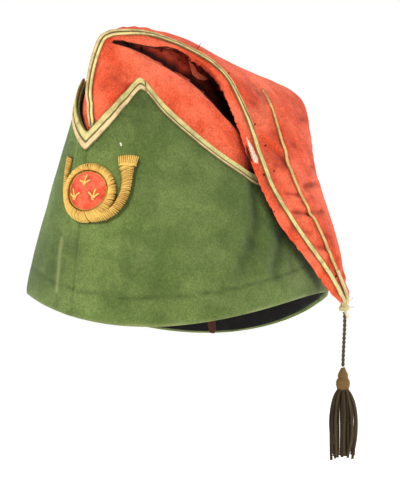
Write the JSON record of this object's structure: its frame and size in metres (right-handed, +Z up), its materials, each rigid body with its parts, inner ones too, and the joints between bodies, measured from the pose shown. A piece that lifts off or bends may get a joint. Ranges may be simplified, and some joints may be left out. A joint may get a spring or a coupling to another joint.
{
  "type": "military bonnet",
  "caption": "Soldier's bonnet with a notched green cloth turban, a padded horn badge and a red bag that folds over to hang at the side, ending in a corded tassel.",
  "frame": {"origin": "on the axis of the wearer's head, at the mean height of the rim", "axes": "+Z up, the front with the badge faces -Y, the wearer's left with the hanging bag is +X"},
  "size_m": [0.1798, 0.2156, 0.2564],
  "materials": {
    "green_wool": "matt wool felt",
    "red_wool": "matt wool cloth",
    "buff_braid": "woven braid, slight sheen",
    "gold_thread": "stitched metal thread, soft sheen",
    "red_disc": "matt padded cloth",
    "black_leather": "worn, satin",
    "brown_leather": "worn, matt",
    "pale_thread": "wound thread",
    "dark_thread": "twisted thread, matt"
  },
  "bodies": {
    "root": {"turban": "green_wool", "turban_braid": "buff_braid", "flame": "red_wool", "front_braid": "buff_braid", "side_piping": "buff_braid", "badge_horn": "gold_thread", "badge_disc": "red_disc", "badge_sprig_top": "gold_thread", "badge_sprig_left": "gold_thread", "badge_sprig_right": "gold_thread", "sweatband": "black_leather", "sweatband_strip": "brown_leather", "tip_binding": "pale_thread", "tassel_cord": "dark_thread", "tassel": "dark_thread"}
  },
  "joints": []
}
